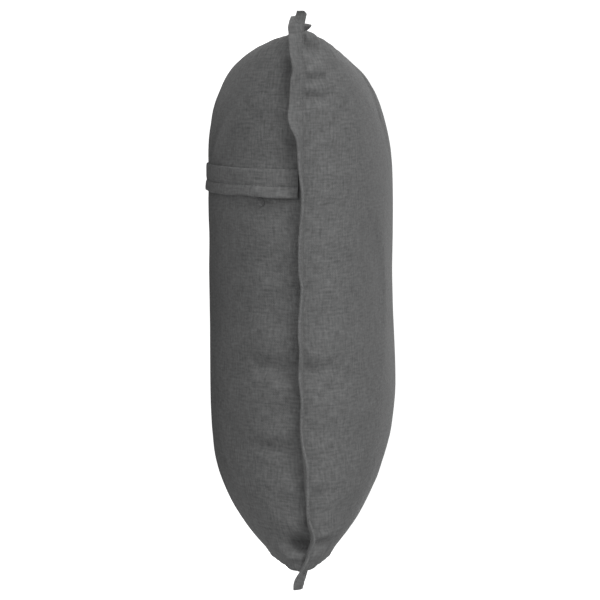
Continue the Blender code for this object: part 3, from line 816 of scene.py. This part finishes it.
def flap_point_rows(u, sections):
    """Rows of points of the flap, one for each (across, height) of its section.

    The points stand off the smooth back along its normals. The flap droops by |u|^3.
    """
    rows = []
    wander = sum(depth * np.sin(2 * math.pi * u * waves + shift) for depth, waves, shift in FLAP_WANDER)
    for across, height in sections:
        y = FLAP_LOWER_EDGE + FLAP_WIDTH * (1.0 - across) + wander * across - FLAP_DROOP * np.abs(u) ** 3
        v = y / half_height_at(u)
        points = smooth_panel(u, v, "back")
        off = FLAP_CLEARANCE + height * FLAP_THICKNESS + flap_gape(length_along(points), across)
        place = points + panel_normals(u, v, "back") * off[:, None]
        place[:, 2] = np.maximum(place[:, 2], 0.0)
        rows.append(place)
    return rows


def flap_piece(material):
    """The doubled strip across the back with a groove along its line of stitches.

    Its section is a closed ring, carried along the back to just short of both seams. A
    fan from a middle point closes each end. Returns the piece, its u and its length.
    """
    u = stations(FLAP_STEPS, FLAP_CROWDING, True)
    u[0], u[-1] = -1.0 + FLAP_END_GAP, 1.0 - FLAP_END_GAP
    sections = list(FLAP_PROFILE) + [(across, 0.0) for across in FLAP_UNDERSIDE]
    grid = np.stack(flap_point_rows(u, sections), axis=1)
    index = np.arange(len(u) * len(sections)).reshape(len(u), len(sections))
    quads = grid_quads(np.concatenate([index, index[:, :1]], axis=1))
    length = length_along(grid[:, FLAP_MEASURED_ROW])
    across = np.array([section[0] for section in sections])
    cloth = np.stack(np.meshgrid(length - length[-1] / 2, across * FLAP_WIDTH, indexing="ij"), axis=-1)
    rim = np.tile(across ** FLAP_RIM_POWER, len(u))
    fans = []
    for number, ring in enumerate(index[[0, -1]]):
        middle = np.full_like(ring, index.size + number)
        fans += np.stack([ring, np.roll(ring, -1), middle], axis=-1).tolist()
    points = [grid.reshape(-1, 3), grid[[0, -1]].mean(axis=1)]
    cloth = [cloth.reshape(-1, 2), np.zeros((2, 2))]
    piece = cloth_piece("zip_flap_cloth", points, [quads], cloth, [rim, np.zeros(2)], material)
    close_up(piece, fans, True)
    return piece, u, length[-1]


# The tip of the slider's tab below the flap. Its section: share of the outline and
# height as a share of its thickness.
PULL_SINK = 0.0004
PULL_THICKNESS = 0.0010
PULL_PROFILE = ((1, 0), (1.06, 0.25), (1.06, 0.75), (1, 1), (0.86, 1), (0.74, 0.72), (0.4, 0.7))
PULL_TURN_STEPS = 24


def pull_piece(material):
    """A flat tongue with a round lower end and a raised rim, from rings of one outline.

    The outline is a rectangle with a half circle below it. Each ring is the outline
    scaled about its middle by its share, at its height.
    """
    centre_z = (PULL_LOW[2] + PULL_HIGH[2]) / 2
    width, length = PULL_HIGH[2] - PULL_LOW[2], PULL_HIGH[1] - PULL_LOW[1]
    turn = np.linspace(0.0, math.pi, PULL_TURN_STEPS + 1)
    side = np.concatenate([[0.5], 0.5 * np.cos(turn), [-0.5]])
    round_end = 1.0 - width / (2 * length) * (1.0 - np.sin(turn))
    drop = np.concatenate([[0.0], round_end, [0.0]])
    rings = []
    for share, height in PULL_PROFILE:
        z = centre_z + side * width * share
        y = PULL_HIGH[1] - length * (0.5 + (drop - 0.5) * share)
        x = np.full_like(z, PULL_HIGH[0] - PULL_SINK - height * PULL_THICKNESS)
        rings.append(np.stack([x, y, z], axis=-1))
    grid = np.stack(rings, axis=1)
    index = np.arange(grid.size // 3).reshape(grid.shape[:2])
    quads = grid_quads(np.concatenate([index, index[:1]], axis=0))
    piece = mesh_piece("zip_pull_tab", grid.reshape(-1, 3).tolist(), quads.tolist(), material)
    close_up(piece, index[:, [0, -1]].T.tolist(), False)
    return piece


# Stitches. Their rings: place along the stitch, share of its radius and rise in radii.
STITCH_PITCH = 0.0034
STITCH_LENGTH = 0.0027
STITCH_RADIUS = 0.00024
STITCH_RINGS = (
    (-0.5, 0.45, -0.9), (-0.38, 0.9, -0.1), (0, 1, 0.25), (0.38, 0.9, -0.1), (0.5, 0.45, -0.9),
)
STITCH_SIDES = 6
# Where the flange's stitches lie between its first two rows, and how many stations of
# the flap have no stitch at each end
STITCH_ROW_SHARE = 0.65
BARE_STATIONS = 4


def points_at(places, length, path):
    """Points of a path, or other vectors along it, at places along its length."""
    return np.stack([np.interp(places, length, path[:, axis]) for axis in range(3)], axis=-1)


def stitches_along(path, normals):
    """Points, side quads and end faces of one line of stitches along a path.

    A stitch is a short thread of six sides through five rings: its middle stands a
    little proud along the normal and its ends dip under the cloth.
    """
    length = length_along(path)
    count = int(length[-1] / STITCH_PITCH)
    middle = (np.arange(count) + 0.5) * length[-1] / count
    centre = points_at(middle, length, path)
    ahead = points_at(middle + STITCH_LENGTH / 2, length, path)
    along = unit(ahead - points_at(middle - STITCH_LENGTH / 2, length, path))
    beside = unit(np.cross(points_at(middle, length, normals), along))
    up = np.cross(along, beside)
    angle = np.arange(STITCH_SIDES)[:, None] * 2 * math.pi / STITCH_SIDES
    out = np.cos(angle) * beside[:, None] + np.sin(angle) * up[:, None]
    rings = []
    for place, radius, rise in STITCH_RINGS:
        core = centre + along * (place * STITCH_LENGTH) + up * (rise * STITCH_RADIUS)
        rings.append(core[:, None] + out * radius * STITCH_RADIUS)
    index = np.arange(len(STITCH_RINGS) * STITCH_SIDES).reshape(len(STITCH_RINGS), STITCH_SIDES)
    quads = grid_quads(np.concatenate([index, index[:, :1]], axis=1))[:, ::-1]
    ends = np.stack([index[0], index[-1, ::-1]])
    start = np.arange(count)[:, None, None] * index.size
    sides, ends = (quads + start).reshape(-1, 4), (ends + start).reshape(-1, STITCH_SIDES)
    return np.stack(rings, axis=1).reshape(-1, 3), sides, ends


def stitches_piece(layers, flap_u, material):
    """All stitches: both sides of the flange beside its root, and the flap's one line."""
    lines = []
    for rows, sign in zip(layers, (1.0, -1.0)):
        path = rows[0] * (1.0 - STITCH_ROW_SHARE) + rows[1] * STITCH_ROW_SHARE
        path = np.concatenate([path, path[:1]])
        lines.append((path, np.tile((0.0, 0.0, sign), (len(path), 1))))
    heights = ((FLAP_STITCH_PLACE, FLAP_GROOVE), (FLAP_STITCH_PLACE, FLAP_GROOVE + 1.0))
    groove, raised = flap_point_rows(flap_u, heights)
    normals = unit(raised - groove)
    normals[groove[:, 2] < 1e-6] = (0.0, 0.0, -1.0)
    stitched = slice(BARE_STATIONS, -BARE_STATIONS)
    lines.append((groove[stitched], normals[stitched]))
    points, faces, count = [], [], 0
    for path, normals in lines:
        line_points, sides, ends = stitches_along(path, normals)
        points += line_points.tolist()
        faces += (sides + count).tolist() + (ends + count).tolist()
        count += len(line_points)
    return mesh_piece("cover_stitches", points, faces, material)


# Materials. The weave's sizes:
THREAD_PITCH = 0.00085
THREAD_WANDER = 0.0006
SLUB_WIDTH = 0.0015
SLUB_LENGTH = 0.0085
WEFT_SHIFT = (37.0, 11.0, 5.0)
STREAK_SHARE = 0.30
# Noises that change the tone: size and share of the tone
GRAIN = (0.0020, 0.13)
PATCHES = (0.013, 0.05)
DRIFT = (0.07, 0.04)
# How much lighter the rim is painted: a painted highlight where the edges catch the light
RIM_HIGHLIGHT = 0.05
# How much the crossings, the streaks and the grain give to the weave's height
WEAVE_HEIGHTS = (0.14, 1.1, 0.5)
WEAVE_BUMP = {"Strength": 0.55, "Distance": 0.0004}
CLOTH_SHEEN = {"Sheen Weight": 0.06, "Sheen Roughness": 0.5, "Specular IOR Level": 0.15}
CLOTH_COLOR = (0.127, 0.128, 0.128)
# The flap's cloth is the cover's cloth painted about 7% lighter: painted light that makes the flap look
# more lit
FLAP_COLOR = (0.136, 0.137, 0.137)
THREAD_COLOR = (0.112, 0.113, 0.113)
TAB_COLOR = (0.060, 0.060, 0.061)
# Speckles: how many to a metre, detail, ends of their mix, and the darker and the
# lighter share of the colour
THREAD_SPECKLES = (2200.0, 1.0, (0.35, 0.65), (0.82, 1.15))
TAB_SPECKLES = (900.0, 3.0, (0.45, 0.75), (1.0, 1.8))


class Nodes:
    """Short ways to add and join the nodes of a material or a world."""

    def __init__(self, owner, shader="Principled BSDF"):
        owner.use_nodes = True
        self.owner = owner
        self.tree = owner.node_tree
        self.shader = self.tree.nodes[shader]

    def give(self, node, inputs):
        """Set a node's inputs, each to a plain value or to the output of another node."""
        for key, source in inputs.items():
            if isinstance(source, bpy.types.NodeSocket):
                self.tree.links.new(source, node.inputs[key])
            else:
                node.inputs[key].default_value = source

    def add(self, kind, inputs, **settings):
        """A new node with its settings and inputs."""
        node = self.tree.nodes.new("ShaderNode" + kind)
        for key, value in settings.items():
            setattr(node, key, value)
        self.give(node, inputs)
        return node

    def math(self, operation, *sources):
        """Output of a math node."""
        return self.add("Math", dict(enumerate(sources)), operation=operation).outputs[0]

    def noise(self, place, scale, shift=(0.0, 0.0, 0.0), detail=2.0):
        """Noise at place * scale + shift."""
        at = self.add("VectorMath", {0: place, 1: scale, 2: shift}, operation="MULTIPLY_ADD").outputs[0]
        return self.add("TexNoise", {"Vector": at, "Scale": 1.0, "Detail": detail}).outputs["Fac"]

    def span(self, *numbers):
        """A value carried from one range to another and held within it."""
        inputs = dict(zip(("Value", "From Min", "From Max", "To Min", "To Max"), numbers))
        return self.add("MapRange", inputs, clamp=True).outputs["Result"]


def woven_cloth(name, color):
    """A matt plain weave in linen look, on the piece's own cloth coordinates in metres.

    Colour: the base times streaks of thick and thin threads along and across, grain,
    uneven patches, a slow drift and a rim painted lighter, a painted highlight where the
    edges catch the light. Height: a product of two sines, one hump for each crossing of
    threads, and the same streaks and grain.
    """
    nodes = Nodes(bpy.data.materials.new(name))
    place = nodes.add("UVMap", {}, uv_map="cloth").outputs["UV"]
    warp = nodes.noise(place, (1 / SLUB_WIDTH, 1 / SLUB_LENGTH, 0.0))
    weft = nodes.noise(place, (1 / SLUB_LENGTH, 1 / SLUB_WIDTH, 0.0), WEFT_SHIFT)
    streaks = nodes.math("MULTIPLY", nodes.math("ADD", warp, weft), 0.5)
    tone = nodes.span(streaks, 0.30, 0.70, 1.0 - STREAK_SHARE, 1.0 + STREAK_SHARE)
    noises = []
    for size, share in (GRAIN, PATCHES, DRIFT):
        noises.append(nodes.noise(place, (1 / size, 1 / size, 0.0)))
        tone = nodes.math("MULTIPLY", tone, nodes.span(noises[-1], 0.25, 0.75, 1.0 - share, 1.0 + share))
    grain = noises[0]
    # The rim attribute lightens the colour: a painted highlight of the flange's and the flap's edges
    rim = nodes.add("Attribute", {}, attribute_name="rim").outputs["Fac"]
    tone = nodes.math("MULTIPLY", tone, nodes.math("MULTIPLY_ADD", rim, RIM_HIGHLIGHT, 1.0))
    gray = nodes.add("CombineColor", dict.fromkeys(("Red", "Green", "Blue"), tone)).outputs["Color"]
    inputs = {"Factor": 1.0, "A": (*color, 1.0), "B": gray}
    shade = nodes.add("Mix", inputs, data_type="RGBA", blend_type="MULTIPLY").outputs["Result"]
    axes = nodes.add("SeparateXYZ", {0: place}).outputs
    wander = nodes.math("MULTIPLY", grain, THREAD_WANDER)
    humps = []
    for axis in ("X", "Y"):
        turn = nodes.math("MULTIPLY", nodes.math("ADD", axes[axis], wander), math.pi / THREAD_PITCH)
        humps.append(nodes.math("SINE", turn))
    height = 0.0
    for source, weight in zip((nodes.math("MULTIPLY", *humps), streaks, grain), WEAVE_HEIGHTS):
        height = nodes.math("MULTIPLY_ADD", source, weight, height)
    bump = nodes.add("Bump", {"Height": height, **WEAVE_BUMP}).outputs["Normal"]
    roughness = nodes.span(grain, 0.3, 0.7, 0.88, 1.0)
    nodes.give(nodes.shader, {"Base Color": shade, "Normal": bump, "Roughness": roughness, **CLOTH_SHEEN})
    return nodes.owner


def speckled(name, color, speckles):
    """Nodes of a plain material whose colour noise mixes from two tones, and that noise."""
    density, detail, ends, tones = speckles
    nodes = Nodes(bpy.data.materials.new(name))
    place = nodes.add("TexCoord", {}).outputs["Object"]
    noise = nodes.noise(place, (density, density, density), detail=detail)
    dark, light = ((*(tone * channel for channel in color), 1.0) for tone in tones)
    inputs = {"Factor": nodes.span(noise, *ends, 0.0, 1.0), "A": dark, "B": light}
    shade = nodes.add("Mix", inputs, data_type="RGBA").outputs["Result"]
    nodes.give(nodes.shader, {"Base Color": shade})
    return nodes, noise


def thread_material():
    """Matt thread with a fine speckle of its twist."""
    nodes, _ = speckled("grey_thread", THREAD_COLOR, THREAD_SPECKLES)
    nodes.give(nodes.shader, {"Roughness": 0.75, "Specular IOR Level": 0.2})
    return nodes.owner


def tab_material():
    """A painted slider tab: dark, half matt, with faint rubbed patches."""
    nodes, rub = speckled("dark_tab", TAB_COLOR, TAB_SPECKLES)
    nodes.give(nodes.shader, {"Roughness": nodes.span(rub, 0.3, 0.7, 0.42, 0.62)})
    return nodes.owner


# Studio and camera
CAMERA_PLACE = (-2.2199, 0.1104, 0.0994)
CAMERA_AHEAD = (0.99830, -0.05587, -0.01686)
CAMERA_UP = (0.05612, 0.99832, 0.01470)
FOCAL_PIXELS = 2950.3
IMAGE_PIXELS = 600
SENSOR = 36.0
ROOM_LIGHT = 0.400
FLOOR_GLOW = 0.274
FLOOR_DROP = 0.0003
FLOOR_HALF = 30.0
SEEN_WHITE = 1.10
WHITE = (1.0, 1.0, 1.0, 1.0)
# Name, place, size and power in watts
SOFT_LIGHTS = (
    ("camera_light", (-1.815, 0.684, 0.552), 0.4, 3.9),
    ("upper_light", (-1.242, 1.532, 0.399), 0.6, 6.7),
    ("high_front_light", (-1.5, 1.0, 0.932), 0.5, 10.8),
    ("front_light", (-1.414, 0.0, 1.48), 0.5, 2.6),
    ("lower_light", (-0.866, -1.732, 0.566), 0.8, 2.0),
    ("far_upper_light", (2.2, 0.7, 0.45), 0.8, 14.0),
    ("far_lower_light", (2.2, -0.7, 0.45), 0.8, 14.0),
)


def white_where_seen(nodes, base):
    """A strength that is base for the light it gives and white where the camera sees it."""
    seen = nodes.add("LightPath", {}).outputs["Is Camera Ray"]
    return nodes.math("MULTIPLY_ADD", seen, SEEN_WHITE - base, base)


def plain_floor():
    """A wide pale floor like a light table: it glows a little and reads white."""
    nodes = Nodes(bpy.data.materials.new("pale_floor"))
    nodes.give(nodes.shader, {
        "Base Color": (0.5, 0.5, 0.5, 1.0),
        "Roughness": 1.0,
        "Specular IOR Level": 0.0,
        "Emission Color": WHITE,
        "Emission Strength": white_where_seen(nodes, FLOOR_GLOW),
    })
    signs = ((-1, -1), (1, -1), (1, 1), (-1, 1))
    corners = [(x * FLOOR_HALF, y * FLOOR_HALF, -FLOOR_DROP) for x, y in signs]
    mesh_piece("floor", corners, [(0, 1, 2, 3)], nodes.owner)


def soft_studio():
    """An even white room and the large soft lights, each a square that faces the cushion."""
    nodes = Nodes(bpy.data.worlds.new("white_room"), "Background")
    nodes.give(nodes.shader, {"Strength": white_where_seen(nodes, ROOM_LIGHT), "Color": WHITE})
    bpy.context.scene.world = nodes.owner
    for name, place, size, power in SOFT_LIGHTS:
        lamp = bpy.data.lights.new(name, "AREA")
        lamp.shape = "SQUARE"
        lamp.size = size
        lamp.energy = power
        light = put_in_scene(name, lamp)
        light.location = place
        light.rotation_mode = "QUATERNION"
        ahead = Vector((0.0, 0.0, THICKNESS / 2)) - Vector(place)
        light.rotation_quaternion = ahead.to_track_quat("-Z", "Y")
    bpy.context.scene.view_settings.view_transform = "Standard"
    bpy.context.scene.view_settings.look = "None"


def photo_camera():
    """The camera beside the near short side, turned so that +Y is up in the image."""
    lens = bpy.data.cameras.new("photo_camera")
    lens.sensor_width = SENSOR
    lens.lens = FOCAL_PIXELS * SENSOR / IMAGE_PIXELS
    lens.clip_start = 0.05
    lens.clip_end = 100.0
    camera = put_in_scene("photo_camera", lens)
    back = -Vector(CAMERA_AHEAD).normalized()
    right = Vector(CAMERA_UP).cross(back).normalized()
    turn = Matrix((right, back.cross(right), back)).transposed()
    camera.matrix_world = Matrix.Translation(Vector(CAMERA_PLACE)) @ turn.to_4x4()
    bpy.context.scene.camera = camera


def main():
    photo_camera()
    soft_studio()
    plain_floor()
    cloth = woven_cloth("grey_linen_look_cloth", CLOTH_COLOR)
    # The flap's cloth is painted lighter than the cover's: painted light on the flap
    flap_cloth = woven_cloth("grey_flap_cloth", FLAP_COLOR)
    settled = settled_wrinkles()
    cover, layers = cover_piece(settled, cloth)
    flap, flap_u, flap_length = flap_piece(flap_cloth)
    pull = pull_piece(tab_material())
    stitches = stitches_piece(layers, flap_u, thread_material())
    for piece in (cover, flap, pull, stitches):
        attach(piece, "root")
    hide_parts("cushion", "flange")
    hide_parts("zip_flap")
    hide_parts("zip_pull")


main()
